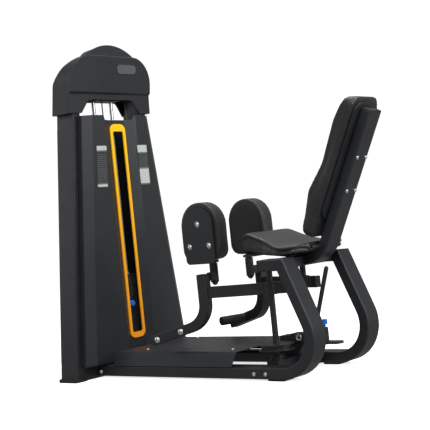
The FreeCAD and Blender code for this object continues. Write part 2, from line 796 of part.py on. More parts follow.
def back_body(label, keep_it=True):
    """A body whose X is forward from the tube's front face and whose Z runs up the tube."""
    body = new_body(label, keep_it)
    origin = back_point(0, -size("back_tube_half"))
    body.Placement = FreeCAD.Placement(origin, FreeCAD.Rotation(vec(0, 1, 0), back_lean()))
    return body


def back_plate():
    body = back_body("back_plate")
    pad(body, "YZ_Plane", rectangle(-80, 80, -460, 20, 40), "8", offset=-8, both_ways=False)


def back_cushion():
    """Side profile with a lumbar swelling, cut to a round-shouldered front outline."""
    profile = back_body("back_profile", keep_it=False)
    front = [(-8.5, -543, 4), (-60, -552, 14), (-70, -470, 30), (-88, -375, 60),
             (-68, -250, 120), (-74, -70, 120), (-60, 34, 26), (-8.5, 44, 8)]
    pad(profile, "XZ_Plane", rounded(front), "2 * Sizes.back_pad_half")
    outline = back_body("back_outline", keep_it=False)
    half = size("back_pad_half")
    shape = [(-half, -554, 40), (half, -554, 40), (half, 46, 60), (-half, 46, 60)]
    pad(outline, "YZ_Plane", rounded(shape), "250")
    keep(common("back_cushion_solid", [profile, outline]), "back_cushion")


def seat_plate():
    body = new_body("seat_plate")
    path = [(880, 509.4, 0), (961, 490.8, 0), (1064, 478.8, 0), (1078, 478.8, 0)]
    pad(body, "XZ_Plane", strip(path, 2.5), "240")


def seat_cushion():
    """Dished seat: side profile and plan outline together, notched round the back tube."""
    profile = new_body("seat_profile", keep=False)
    side = [(854, 520, 6), (961, 496, 0), (1064, 484, 60), (1150, 492, 0), (1182, 512, 10),
            (1172, 531, 10), (1077, 514, 150), (880, 588, 14), (855, 566, 10)]
    pad(profile, "XZ_Plane", rounded(side), "2 * Sizes.seat_wing_half")
    plan = new_body("seat_plan", keep=False)
    nose, wing = size("seat_nose_half"), size("seat_wing_half")
    half = [(850, nose, 40), (975, nose + 4, 60), (1050, wing, 60), (1130, wing - 4, 40),
            (1190, 60, 10)]
    other = [(x, -y, radius) for x, y, radius in half[::-1]]
    pad(plan, "XY_Plane", rounded(half + other), "800", both_ways=False)
    notch = new_body("seat_notch", keep=False)
    pad(notch, "XZ_Plane", strip(back_path(1020), size("back_tube_half") + 4),
        "Sizes.back_tube_width + 8")
    pad_clear = back_body("seat_back_clearance", keep_it=False)
    pad(pad_clear, "XZ_Plane", rounded([(4, -585, 0), (4, 60, 0), (-100, 60, 0),
                                        (-100, -565, 0), (-9, -555, 0), (-9, -585, 0)]),
        "2 * Sizes.back_pad_half + 8")
    shape = common("seat_solid", [profile, plan])
    notched = cut("seat_notched", shape, notch)
    keep(cut("seat_cushion_solid", notched, pad_clear), "seat_cushion")


# ---- moving arms ----------------------------------------------------------------------------

def arm_place(side):
    """Arm frame: origin on the pivot, -X runs forward along the arm."""
    turn = FreeCAD.Rotation(vec(0, 0, 1), -side * size("splay_deg"))
    return FreeCAD.Placement(vec(size("pivot_x"), side * size("pivot_y"), 0), turn)


def arm_body(label, side):
    body = new_body(label)
    body.Placement = arm_place(side)
    return body


def pivot_shaft(name, side):
    """Shaft with the flanged drum that the cable winds on, welded together."""
    body = arm_body(name + "_shaft", side)
    ring = [Part.Circle(vec(0, 0), vec(0, 0, 1), size("shaft_dia") / 2)]
    pad(body, "XY_Plane", ring, "470 - 70", offset=70, both_ways=False)
    for radius, base, thick in ((72, 106, 5), (60, 111, 16), (72, 127, 5)):
        disc = [Part.Circle(vec(0, 0), vec(0, 0, 1), radius)]
        pad(body, "XY_Plane", disc, str(thick), offset=base, both_ways=False)


def lever(name, side):
    body = arm_body(name + "_lever", side)
    half = size("lever_width") / 2
    front = -(size("arm_reach") - size("arm_tube_half"))
    tall = "Sizes.lever_top - Sizes.lever_base"
    tail = size("lever_tail")
    pad(body, "XY_Plane", rectangle(front, tail, -half, half), tall, offset=size("lever_base"),
        both_ways=False)
    hub = [Part.Circle(vec(0, 0), vec(0, 0, 1), size("shaft_dia"))]
    pad(body, "XY_Plane", hub, tall + " + 4", offset=size("lever_base") - 2, both_ways=False)
    pocket(body, "XY_Plane", [Part.Circle(vec(0, 0), vec(0, 0, 1), size("shaft_dia") / 2)])
    cap = arm_body(name + "_lever_cap", side)
    pad(cap, "XY_Plane", rectangle(tail, tail + 25, -half, half, 5), tall,
        offset=size("lever_base"), both_ways=False)


def arm_tube(name, side):
    body = arm_body(name + "_arm_tube", side)
    reach, corner_z = size("arm_reach"), 233.7
    slope = math.radians(size("arm_slope_deg"))
    end_z = corner_z - (size("arm_end") - reach) * math.tan(slope)
    path = [(-reach, size("arm_top"), 0), (-reach, corner_z, 100), (-size("arm_end"), end_z, 0)]
    pad(body, "XZ_Plane", strip(path, size("arm_tube_half")), "Sizes.arm_tube_width")
    round_edges(body, 6, lambda edge: not straight_along((0, 1, 0))(edge)
                and abs(edge.CenterOfMass.y) > 1)


def foot_peg(name, side):
    """Rubber-sleeved foot peg on the inner face of the lower tube, with its step plate."""
    turn = arm_place(side).Rotation * FreeCAD.Rotation(vec(1, 0, 0), 90 * side)
    inner = arm_place(side).multVec(vec(-428, -side * size("arm_tube_width") / 2, 199))
    body = new_body(name + "_foot_peg")
    body.Placement = FreeCAD.Placement(inner, turn)
    pad(body, "XY_Plane", [Part.Circle(vec(0, 0), vec(0, 0, 1), size("peg_dia") / 2)],
        "Sizes.peg_length", both_ways=False)
    length = size("peg_length")
    round_edges(body, 5, lambda edge: isinstance(edge.Curve, Part.Circle)
                and edge.CenterOfMass.z > length - 1)


def pad_post_local(side):
    """The pad post's place in the arm frame."""
    world = vec(size("pad_post_x"), side * size("pad_post_y"))
    return arm_place(side).inverse().multVec(world)


def pad_clamp(name, side):
    """Sleeve that the pad's post turns in, on a lug welded to the arm tube."""
    body = arm_body(name + "_pad_clamp", side)
    post = pad_post_local(side)
    inner = -side * size("arm_tube_width") / 2
    sleeve = size("shaft_dia") / 2 + 5
    ring = [Part.Circle(vec(post.x, post.y), vec(0, 0, 1), sleeve)]
    pad(body, "XY_Plane", ring, "80", offset=392, both_ways=False)
    low, high = sorted((inner, post.y))
    lug = rectangle(post.x - 12, post.x + 12, low, high)
    pad(body, "XY_Plane", lug, "34", offset=402, both_ways=False)
    bore = size("shaft_dia") / 2 + size("running_gap")
    pocket(body, "XY_Plane", [Part.Circle(vec(post.x, post.y), vec(0, 0, 1), bore)])


def thigh_pad(name, side):
    """Post, backing plate and cushion that swivel together in the arm's clamp."""
    x, y = size("pad_post_x"), size("pad_post_y")
    outer = y + size("pad_thick")
    base = size("pad_base")
    post = cylinder(name + "_post_rod", "Sizes.shaft_dia / 2", "89", (x, side * y, 385))
    middle = (y - 14 + outer) / 2
    crank = block(name + "_post_crank", "40", "Sizes.pad_thick + 14", "Sizes.pad_base - 475",
                  (x, side * middle, 474))
    keep(fuse(name + "_post_weldment", [post, crank]), name + "_pad_post")
    plate = new_body(name + "_pad_plate")
    plate.Placement.Base = vec(x, side * (outer + size("pad_plate_thick") / 2), 0)
    half = size("pad_plate_width") / 2
    pad(plate, "XZ_Plane", rounded([(-half, 474, 20), (half, 474, 20), (half, 706, 70),
                                    (-half, 706, 70)]), "Sizes.pad_plate_thick")
    cushion = new_body(name + "_pad_cushion")
    cushion.Placement.Base = vec(x, side * (y + size("pad_thick") / 2), 0)
    half = size("pad_length") / 2
    top = size("pad_top")
    pad(cushion, "XZ_Plane", rounded([(-half, base, 45), (half, base, 45),
                                      (half, top, half - 1), (-half, top, half - 1)]),
        "Sizes.pad_thick - 1")


def arms():
    for name, side in SIDES:
        pivot_shaft(name, side)
        lever(name, side)
        arm_tube(name, side)
        foot_peg(name, side)
        pad_clamp(name, side)
        thigh_pad(name, side)


# ---- range adjuster -------------------------------------------------------------------------

HANDLE_FOOT = (1080, 178)
HANDLE_TOP = (1161, 414)
PLUNGER_X = 1126
ADJUSTER_PLATE_Z = 113
ADJUSTER_PLATE_TOP = 122


def range_adjuster():
    stand = new_body("adjuster_stand")
    beam_rear = size("pivot_x") + 30
    pad(stand, "XZ_Plane", strip([(beam_rear, 38, 0), (1062, 38, 40), (1082, ADJUSTER_PLATE_Z, 0)], 15),
        "30")
    plate = rectangle(1046, 1202, -28, 28, 24)
    pad(stand, "XY_Plane", plate, str(ADJUSTER_PLATE_TOP - ADJUSTER_PLATE_Z),
        offset=ADJUSTER_PLATE_Z, both_ways=False)
    guide = [Part.Circle(vec(PLUNGER_X, 0), vec(0, 0, 1), 13)]
    pad(stand, "XY_Plane", guide, "56", offset=ADJUSTER_PLATE_TOP, both_ways=False)
    hole = Part.Circle(vec(PLUNGER_X, 0), vec(0, 0, 1), 4 + size("running_gap"))
    lip = stand.newObject("PartDesign::Pocket", "adjuster_pin_hole")
    lip.Profile = sketch_on(stand, "XY_Plane", [hole], offset=190)
    lip.Length = 100
    doc.recompute()
    base = ADJUSTER_PLATE_TOP - 1
    for y in (-14, 14):
        lug = rounded([(HANDLE_FOOT[0] - 14, base, 0), (HANDLE_FOOT[0] + 14, base, 0),
                       (HANDLE_FOOT[0] + 14, 194, 13), (HANDLE_FOOT[0] - 14, 194, 13)])
        pad(stand, "XZ_Plane", lug, "5", offset=y)
    bore = 5 + size("running_gap")
    pocket(stand, "XZ_Plane", [Part.Circle(vec(HANDLE_FOOT[0], HANDLE_FOOT[1]),
                                           vec(0, 0, 1), bore)])
    lean = math.degrees(math.atan2(HANDLE_TOP[0] - HANDLE_FOOT[0], HANDLE_TOP[1] - HANDLE_FOOT[1]))
    long = math.hypot(HANDLE_TOP[0] - HANDLE_FOOT[0], HANDLE_TOP[1] - HANDLE_FOOT[1])
    turn = FreeCAD.Rotation(vec(0, 1, 0), lean)
    foot = (HANDLE_FOOT[0], 0, HANDLE_FOOT[1])
    rod = cylinder("handle_rod", "9", str(round(long, 2)), foot, turn)
    eye = cylinder("handle_eye", "11", "20", (foot[0], -10, foot[2]), ALONG_Y)
    pivot = cylinder("handle_pivot", "5", "37", (foot[0], -18.5, foot[2]), ALONG_Y)
    ball = doc.addObject("Part::Sphere", "handle_ball")
    ball.Radius = 9
    ball.Placement.Base = vec(HANDLE_TOP[0], 0, HANDLE_TOP[1])
    keep(fuse("handle_weldment", [rod, eye, pivot, ball]), "range_handle")
    plunger = cylinder("plunger_rod", "4", "82", (PLUNGER_X, 0, 108))
    knob = cylinder("plunger_knob", "12", "20", (PLUNGER_X, 0, 190))
    keep(fuse("plunger", [plunger, knob]), "range_pin")


# ---- build, check and write -----------------------------------------------------------------

def build():
    tower_posts()
    tower_feet()
    crossbars()
    head_cover()
    head_badge()
    front_guard()
    rear_guard()
    slot_frame()
    placards()
    guide_rods()
    rubber_bumpers()
    weight_plates()
    weight_carriage()
    carriage_bushes()
    selector_pin()
    pulleys()
    pulley_brackets()
    lift_cable()
    side_frames()
    frame_feet()
    frame_bolts()
    platform_cover()
    pivot_beam()
    sheave_block()
    shaft_bearings()
    bearing_bridge()
    seat_cross_tubes()
    back_tube()
    back_plate()
    back_cushion()
    seat_plate()
    seat_cushion()
    arms()
    range_adjuster()


def check_document():
    for item in doc.Objects:
        if "Invalid" in item.State or "Error" in item.State:
            sys.exit("%s did not rebuild: %s" % (item.Label, item.State))
    for item in SUB_PARTS:
        if item.Shape.isNull() or not item.Shape.isValid() or item.Shape.Volume <= 0:
            sys.exit(item.Label + " has no valid shape")


def write_parts():
    os.makedirs("parts", exist_ok=True)
    for item in SUB_PARTS:
        item.Shape.exportStep("parts/%s.step" % item.Label)


build()
doc.recompute()
check_document()
write_parts()
print("%d sub-parts written" % len(SUB_PARTS))
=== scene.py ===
"""Looks for the seated hip abductor and adductor machine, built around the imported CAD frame."""
import json
import math

import bmesh
import bpy
import numpy as np
from mathutils import Matrix, Vector


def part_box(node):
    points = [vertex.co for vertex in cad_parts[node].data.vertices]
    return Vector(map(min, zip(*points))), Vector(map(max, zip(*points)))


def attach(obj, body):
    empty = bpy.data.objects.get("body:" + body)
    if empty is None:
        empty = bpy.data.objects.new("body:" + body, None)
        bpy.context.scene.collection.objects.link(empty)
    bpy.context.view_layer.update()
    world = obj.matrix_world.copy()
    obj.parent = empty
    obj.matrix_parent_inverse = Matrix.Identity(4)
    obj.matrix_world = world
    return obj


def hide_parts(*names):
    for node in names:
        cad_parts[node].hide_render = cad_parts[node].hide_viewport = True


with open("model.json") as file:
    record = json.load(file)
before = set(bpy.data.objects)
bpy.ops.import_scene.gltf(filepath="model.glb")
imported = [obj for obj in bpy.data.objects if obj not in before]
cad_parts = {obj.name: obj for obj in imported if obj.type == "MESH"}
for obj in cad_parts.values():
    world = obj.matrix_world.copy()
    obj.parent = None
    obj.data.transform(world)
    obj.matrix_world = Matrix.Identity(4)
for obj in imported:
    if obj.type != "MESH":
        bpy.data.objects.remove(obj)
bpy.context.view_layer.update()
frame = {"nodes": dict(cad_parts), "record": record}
NODES = frame["nodes"]
MM = 0.001
SIDES = (("near", -1), ("far", 1))


# ---- node material helpers ------------------------------------------------------------------

# Tones of the placards and the head plate. A block is a stripe across a placard: where it
# starts and ends, as shares of the placard's height, and its tone.
PALE = (0.60, 0.61, 0.62)
GREY = (0.085, 0.088, 0.095)
GREEN = (0.10, 0.30, 0.10)
PLATE = (0.030, 0.032, 0.036)
BADGE = (0.10, 0.105, 0.115)
ROWS = [(0.13 + 0.045 * row, 0.145 + 0.045 * row, GREY) for row in range(15)]
NEAR_BLOCKS = ROWS + [(0.03, 0.085, PALE), (0.10, 0.11, GREEN), (0.865, 0.965, PALE),
                      (0.84, 0.85, GREEN)]
FAR_BLOCKS = ROWS + [(0.06, 0.40, PALE), (0.03, 0.045, GREEN), (0.415, 0.43, GREEN),
                     (0.80, 0.965, PALE), (0.775, 0.785, GREEN)]


class Shader:
    """A material under construction, with short ways to add and join nodes."""

    def __init__(self, name):
        self.material = bpy.data.materials.new(name)
        self.material.use_nodes = True
        self.tree = self.material.node_tree
        self.tree.nodes.clear()
        self.output = self.tree.nodes.new("ShaderNodeOutputMaterial")
        self.surface = self.tree.nodes.new("ShaderNodeBsdfPrincipled")
        self.join(self.surface.outputs[0], self.output.inputs[0])
        self.coords = self.tree.nodes.new("ShaderNodeTexCoord").outputs["Object"]

    def join(self, source, target):
        self.tree.links.new(source, target)

    def put(self, name, value):
        """Set a socket of the surface to a number, a colour or another node's output."""
        socket = self.surface.inputs[name]
        if hasattr(value, "is_linked"):
            self.join(value, socket)
        else:
            socket.default_value = value
        return self

    def stretched(self, scale):
        node = self.tree.nodes.new("ShaderNodeMapping")
        node.inputs["Scale"].default_value = scale
        self.join(self.coords, node.inputs["Vector"])
        return node.outputs[0]

    def noise(self, scale, detail=4, rough=0.55, coords=None):
        node = self.tree.nodes.new("ShaderNodeTexNoise")
        node.inputs["Scale"].default_value = scale
        node.inputs["Detail"].default_value = detail
        node.inputs["Roughness"].default_value = rough
        self.join(coords or self.coords, node.inputs["Vector"])
        return node.outputs["Fac"]

    def cells(self, scale, feature="F1", coords=None):
        node = self.tree.nodes.new("ShaderNodeTexVoronoi")
        node.feature = feature
        node.inputs["Scale"].default_value = scale
        self.join(coords or self.coords, node.inputs["Vector"])
        return node.outputs["Distance"]

    def span(self, value, low, high, out_low, out_high):
        """Map a value from one range to another, clamped."""
        node = self.tree.nodes.new("ShaderNodeMapRange")
        self.join(value, node.inputs["Value"])
        for name, number in (("From Min", low), ("From Max", high), ("To Min", out_low),
                             ("To Max", out_high)):
            node.inputs[name].default_value = number
        return node.outputs[0]

    def ramp(self, value, stops):
        node = self.tree.nodes.new("ShaderNodeValToRGB")
        elements = node.color_ramp.elements
        while len(elements) < len(stops):
            elements.new(0.5)
        for element, (place, colour) in zip(elements, stops):
            element.position = place
            element.color = (*colour, 1)
        self.join(value, node.inputs[0])
        return node.outputs[0]

    def maths(self, operation, first, second):
        node = self.tree.nodes.new("ShaderNodeMath")
        node.operation = operation
        for socket, value in zip(node.inputs, (first, second)):
            if hasattr(value, "is_linked"):
                self.join(value, socket)
            else:
                socket.default_value = value
        return node.outputs[0]

    def mix(self, amount, first, second):
        """Blend two colours; each may be a tuple or an output."""
        node = self.tree.nodes.new("ShaderNodeMix")
        node.data_type = "RGBA"
        for socket, value in ((node.inputs[0], amount), (node.inputs[6], first),
                              (node.inputs[7], second)):
            if hasattr(value, "is_linked"):
                self.join(value, socket)
            else:
                socket.default_value = value if isinstance(value, float) else (*value, 1)
        return node.outputs[2]

    def axis(self, name):
        node = self.tree.nodes.new("ShaderNodeSeparateXYZ")
        self.join(self.coords, node.inputs[0])
        return node.outputs[name]

    def bevel(self, radius):
        """Normal that rounds hard edges by radius, in metres."""
        node = self.tree.nodes.new("ShaderNodeBevel")
        node.samples = 4
        node.inputs["Radius"].default_value = radius
        return node.outputs[0]

    def edges(self, radius):
        """Zero on flat faces, rising to one on edges rounder than radius."""
        wide = self.bevel(radius)
        geometry = self.tree.nodes.new("ShaderNodeNewGeometry")
        dot = self.tree.nodes.new("ShaderNodeVectorMath")
        dot.operation = "DOT_PRODUCT"
        self.join(wide, dot.inputs[0])
        self.join(geometry.outputs["True Normal"], dot.inputs[1])
        return self.span(dot.outputs["Value"], 0.99, 0.80, 0.0, 1.0)

    def bump(self, height, strength, distance, normal=None):
        node = self.tree.nodes.new("ShaderNodeBump")
        node.inputs["Strength"].default_value = strength
        node.inputs["Distance"].default_value = distance
        self.join(height, node.inputs["Height"])
        if normal:
            self.join(normal, node.inputs["Normal"])
        return node.outputs[0]


def powder_coat(name, dark, light, worn_and_highlight, rough=0.42, radius=1.6 * MM):
    """Textured paint: fine orange peel, cloudy tone, and edges mixed lighter, partly as wear and
    partly as a painted highlight.
    """
    shader = Shader(name)
    cloud = shader.noise(5, 5)
    grain = shader.noise(1400, 2)
    tone = shader.mix(shader.span(cloud, 0.35, 0.68, 0.0, 1.0), dark, light)
    tone = shader.mix(shader.span(grain, 0.3, 0.7, 0.0, 0.25), tone, worn_and_highlight)
    # Edges are mixed toward the lighter tone: partly wear, partly a painted highlight where light
    # would catch the rounded edges.
    tone = shader.mix(shader.maths("MULTIPLY", shader.edges(2.5 * MM), 0.55), tone, worn_and_highlight)
    shader.put("Base Color", tone)
    shader.put("Roughness", shader.span(shader.noise(38, 4), 0.3, 0.7, rough - 0.06, rough + 0.07))
    shader.put("Specular IOR Level", 0.5)
    peel = shader.bump(grain, 0.10, 0.3 * MM, shader.bevel(radius))
    shader.put("Normal", shader.bump(shader.noise(260, 3), 0.07, 0.6 * MM, peel))
    return shader.material


def upholstery(name, dark, light, rough):
    """Coated vinyl with a pebbled grain whose crevices carry painted shade, fine creases and a soft
    sheen.
    """
    shader = Shader(name)
    pebble = shader.cells(520, "DISTANCE_TO_EDGE")
    small = shader.cells(1150)
    cloud = shader.noise(9, 5)
    tone = shader.mix(shader.span(cloud, 0.3, 0.7, 0.0, 1.0), dark, light)
    # Painted shade: the crevices between the pebbles of the grain are darkened toward near-black.
    tone = shader.mix(shader.span(pebble, 0.0, 0.12, 0.5, 0.0), tone, (0.004, 0.004, 0.005))
    shader.put("Base Color", tone)
    shader.put("Roughness", shader.span(shader.noise(60, 4), 0.3, 0.7, rough - 0.06, rough + 0.08))
    shader.put("Sheen Weight", 0.12)
    shader.put("Sheen Roughness", 0.4)
    shader.put("Coat Weight", 0.08)
    shader.put("Coat Roughness", 0.35)
    grain = shader.bump(shader.span(pebble, 0.0, 0.25, 0.0, 1.0), 0.22, 0.25 * MM)
    grain = shader.bump(small, 0.10, 0.15 * MM, grain)
    shader.put("Normal", shader.bump(shader.noise(30, 5), 0.12, 2 * MM, grain))
    return shader.material


def metal(name, colour, rough, brush=(1, 1, 60)):
    """Bright metal with fine drawn scratches and faint smudges."""
    shader = Shader(name)
    lines = shader.noise(240, 3, coords=shader.stretched(brush))
    smudge = shader.noise(22, 4)
    shader.put("Base Color", shader.mix(shader.span(smudge, 0.3, 0.7, 0.0, 0.35), colour,
                                        tuple(c * 0.72 for c in colour)))
    shader.put("Metallic", 1.0)
    shader.put("Roughness", shader.maths("ADD", shader.span(lines, 0.3, 0.7, 0.0, 0.14), rough))
    shader.put("Normal", shader.bump(lines, 0.05, 0.1 * MM, shader.bevel(0.8 * MM)))
    return shader.material


def rubber(name, tone):
    shader = Shader(name)
    dust = shader.span(shader.noise(45, 5), 0.45, 0.75, 0.0, 0.35)
    shader.put("Base Color", shader.mix(dust, tone, tuple(c + 0.02 for c in tone)))
    shader.put("Roughness", shader.span(shader.noise(90, 3), 0.3, 0.7, 0.6, 0.78))
    shader.put("Normal", shader.bump(shader.noise(900, 3), 0.2, 0.3 * MM, shader.bevel(1.5 * MM)))
    return shader.material


def cast_iron(name):
    """Painted cast plate: sandy skin, and corners mixed lighter, partly as wear and partly as a
    painted highlight.
    """
    shader = Shader(name)
    sand = shader.noise(700, 5, 0.7)
    tone = shader.mix(shader.span(shader.noise(14, 4), 0.3, 0.7, 0.0, 1.0), (0.012, 0.012, 0.013),
                      (0.028, 0.028, 0.03))
    # Corners are mixed toward light grey: partly wear, partly a painted highlight on the rounded
    # edges.
    tone = shader.mix(shader.maths("MULTIPLY", shader.edges(2 * MM), 0.5), tone, (0.11, 0.11, 0.11))
    shader.put("Base Color", tone)
    shader.put("Roughness", shader.span(sand, 0.3, 0.7, 0.45, 0.7))
    shader.put("Normal", shader.bump(sand, 0.35, 0.5 * MM, shader.bevel(1.5 * MM)))
    return shader.material


TRIM_COLOURS = [(0.0, (1.0, 0.36, 0.002)), (0.35, (1.0, 0.42, 0.002)),
                (0.72, (1.0, 0.50, 0.002)), (1.0, (1.0, 0.58, 0.002))]


def slot_trim(name):
    """Moulded trim that runs from yellow at the top to orange at the bottom."""
    low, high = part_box("slot_frame")
    shader = Shader(name)
    climb = shader.span(shader.axis("Z"), low.z, high.z, 0.0, 1.0)
    colour = shader.ramp(climb, TRIM_COLOURS)
    scuff = shader.span(shader.noise(70, 5), 0.5, 0.8, 0.0, 0.08)
    shader.put("Base Color", shader.mix(scuff, colour, (0.75, 0.45, 0.1)))
    # Painted glow: the trim faintly emits its own colour, as if lit, though it is no lamp.
    shader.put("Emission Color", colour)
    shader.put("Emission Strength", 0.15)
    shader.put("Roughness", shader.span(shader.noise(35, 3), 0.3, 0.7, 0.28, 0.4))
    shader.put("Coat Weight", 0.08)
    shader.put("Normal", shader.bump(shader.noise(420, 3), 0.05, 0.2 * MM, shader.bevel(2 * MM)))
    return shader.material


def plastic(name, dark, light, rough):
    shader = Shader(name)
    tone = shader.mix(shader.span(shader.noise(30, 4), 0.3, 0.7, 0.0, 1.0), dark, light)
    shader.put("Base Color", tone)
    shader.put("Roughness", shader.span(shader.noise(120, 3), 0.3, 0.7, rough - 0.05, rough + 0.08))
    shader.put("Normal", shader.bump(shader.noise(650, 2), 0.08, 0.2 * MM, shader.bevel(1.2 * MM)))
    return shader.material


def band(shader, value, start, end):
    """One between two values and zero outside them."""
    return shader.maths("MULTIPLY", shader.span(value, start - 0.004, start, 0.0, 1.0),
                        shader.span(value, end, end + 0.004, 1.0, 0.0))


def placard(name):
    """Blank instruction plate: pale header and footer, thin green rules and plain grey bars."""
    low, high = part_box("placards")
    badge_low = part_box("head_badge")[0]
    shader = Shader(name)
    climb = shader.span(shader.axis("Z"), low.z, high.z, 0.0, 1.0)
    sides = []
    for blocks in (NEAR_BLOCKS, FAR_BLOCKS):
        colour = PLATE
        for start, end, tone in blocks:
            colour = shader.mix(band(shader, climb, start, end), colour, tone)
        sides.append(colour)
    far = shader.span(shader.axis("Y"), -1 * MM, 1 * MM, 0.0, 1.0)
    colour = shader.mix(far, *sides)
    on_head = shader.span(shader.axis("Z"), badge_low.z - 2 * MM, badge_low.z, 0.0, 1.0)
    colour = shader.mix(on_head, colour, BADGE)
    scuff = shader.span(shader.noise(60, 3), 0.4, 0.7, 0.0, 0.12)
    shader.put("Base Color", shader.mix(scuff, colour, (0.2, 0.2, 0.2)))
    shader.put("Roughness", shader.span(shader.noise(50, 3), 0.3, 0.7, 0.3, 0.42))
    shader.put("Normal", shader.bevel(0.6 * MM))
    return shader.material


def studio_floor(name):
    """White paper that shows only soft shadows, so no horizon line is seen."""
    shader = Shader(name)
    tone = shader.span(shader.noise(3, 4), 0.3, 0.7, 0.93, 0.97)
    shader.put("Base Color", shader.mix(tone, (0.80, 0.80, 0.80), (1.0, 1.0, 1.0)))
    shader.put("Roughness", shader.span(shader.noise(40, 3), 0.3, 0.7, 0.75, 0.85))
    shader.put("Specular IOR Level", 0.1)
    shader.put("Emission Color", (1.0, 1.0, 1.0, 1.0))
    shader.put("Emission Strength", 0.76)
    return shader.material


MATERIALS = {
    "frame_paint": powder_coat("frame_paint", (0.011, 0.012, 0.015), (0.017, 0.0185, 0.022),
                               (0.042, 0.044, 0.048)),
    "cover_paint": powder_coat("cover_paint", (0.011, 0.0125, 0.0155), (0.017, 0.019, 0.023),
                               (0.048, 0.051, 0.056), rough=0.46),
    "upholstery": upholstery("upholstery", (0.012, 0.012, 0.013), (0.022, 0.022, 0.024), 0.40),
    "slot_trim": slot_trim("slot_trim"),
    "knob_plastic": plastic("knob_plastic", (0.002, 0.13, 0.72), (0.004, 0.19, 0.90), 0.3),
    "bright_steel": metal("bright_steel", (0.72, 0.73, 0.75), 0.10),
    "fastener_steel": metal("fastener_steel", (0.78, 0.79, 0.80), 0.22, brush=(1, 1, 1)),
    "rubber": rubber("rubber", (0.012, 0.012, 0.012)),
    "cast_plate": cast_iron("cast_plate"),
    "placard_plastic": placard("placard_plastic"),
    "pulley_plastic": plastic("pulley_plastic", (0.015, 0.015, 0.016), (0.03, 0.03, 0.032), 0.4),
    "cable_coating": plastic("cable_coating", (0.03, 0.033, 0.04), (0.06, 0.065, 0.075), 0.3),
}


def dress_cad():
    """Every CAD node takes the material of its record slot."""
    for part in frame["record"]["subparts"]:
        mesh = NODES[part["node"]].data
        mesh.materials.clear()
        mesh.materials.append(MATERIALS[part["material_slot"]])


# ---- mesh helpers ---------------------------------------------------------------------------

def add_piece(name, mesh, slot, body):
    """Link a mesh as a piece with its material, riding on a body."""
    piece = bpy.data.objects.new(name, mesh)
    bpy.context.scene.collection.objects.link(piece)
    mesh.materials.clear()
    mesh.materials.append(MATERIALS[slot])
    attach(piece, body)
    return piece


def applied(piece):
    """Replace a piece's mesh by its modified mesh and drop the modifiers."""
    depsgraph = bpy.context.evaluated_depsgraph_get()
    mesh = bpy.data.meshes.new_from_object(piece.evaluated_get(depsgraph))
    piece.modifiers.clear()
    piece.data = mesh
    return piece


def coordinates(mesh):
    """Vertex places as an array of rows."""
    flat = np.empty(len(mesh.vertices) * 3)
    mesh.vertices.foreach_get("co", flat)
    return flat.reshape(-1, 3)


def set_coordinates(mesh, points):
    mesh.vertices.foreach_set("co", np.asarray(points, float).ravel())
    mesh.update()


def smooth(mesh):
    mesh.polygons.foreach_set("use_smooth", [True] * len(mesh.polygons))


def tube_curve(name, loops, radius, slot, body, closed=True):
    """Round cord along one or more loops of points."""
    curve = bpy.data.curves.new(name, "CURVE")
    curve.dimensions = "3D"
    curve.bevel_depth = radius
    curve.bevel_resolution = 3
    for loop in loops:
        spline = curve.splines.new("POLY")
        spline.points.add(len(loop) - 1)
        for point, place in zip(spline.points, loop):
            point.co = (*place, 1)
        spline.use_cyclic_u = closed
        spline.use_smooth = True
    piece = bpy.data.objects.new(name, curve)
    bpy.context.scene.collection.objects.link(piece)
    curve.materials.append(MATERIALS[slot])
    mesh = bpy.data.meshes.new_from_object(piece.evaluated_get(
        bpy.context.evaluated_depsgraph_get()))
    bpy.data.objects.remove(piece)
    smooth(mesh)
    return add_piece(name, mesh, slot, body)


# ---- padded pieces --------------------------------------------------------------------------

# Covers are voxel remeshes of the CAD solids, swollen by a short cloth simulation.
VOXEL = 5.5 * MM
CLOTH_FRAMES = 20
CLOTH = {"uniform_pressure_force": 4.0, "tension_stiffness": 25, "compression_stiffness": 25,
         "shear_stiffness": 10, "bending_stiffness": 4}
SOFTEN_ROUNDS = 3
RELAX_ROUNDS = 5


def evened(mesh, move, rounds=40):
    """Moves of the points averaged with their neighbours, which irons out small wrinkles."""
    edges = np.empty(len(mesh.edges) * 2, dtype=np.int32)
    mesh.edges.foreach_get("vertices", edges)
    first, second = edges.reshape(-1, 2).T
    count = np.bincount(edges, minlength=len(move))[:, None]
    for _ in range(rounds):
        total = np.empty_like(move)
        for axis in range(3):
            total[:, axis] = (np.bincount(first, move[second, axis], len(move))
                              + np.bincount(second, move[first, axis], len(move)))
        move = (move + total / np.maximum(count, 1)) / 2
    return move


def inflate(piece, cap, held):
    """Swell a pad under pressure, by at most cap.

    held(points) picks the points that stay on the board.
    """
    before = coordinates(piece.data)
    pins = piece.vertex_groups.new(name="held")
    pins.add([int(i) for i in np.flatnonzero(held(before))], 1.0, "REPLACE")
    cloth = piece.modifiers.new("swell", "CLOTH")
    settings = cloth.settings
    settings.vertex_group_mass = "held"
    settings.use_pressure = True
    settings.effector_weights.gravity = 0
    for setting, value in CLOTH.items():
        setattr(settings, setting, value)
    cloth.point_cache.frame_start = 1
    cloth.point_cache.frame_end = CLOTH_FRAMES
    scene = bpy.context.scene
    for step in range(1, CLOTH_FRAMES + 1):
        scene.frame_set(step)
    swollen = piece.evaluated_get(bpy.context.evaluated_depsgraph_get()).to_mesh()
    after = coordinates(swollen)
    piece.modifiers.clear()
    scene.frame_set(1)
    move = evened(piece.data, after - before)
    length = np.linalg.norm(move, axis=1, keepdims=True)
    move *= np.minimum(1.0, cap / np.maximum(length, 1e-9))
    set_coordinates(piece.data, before + move)
    piece.vertex_groups.clear()


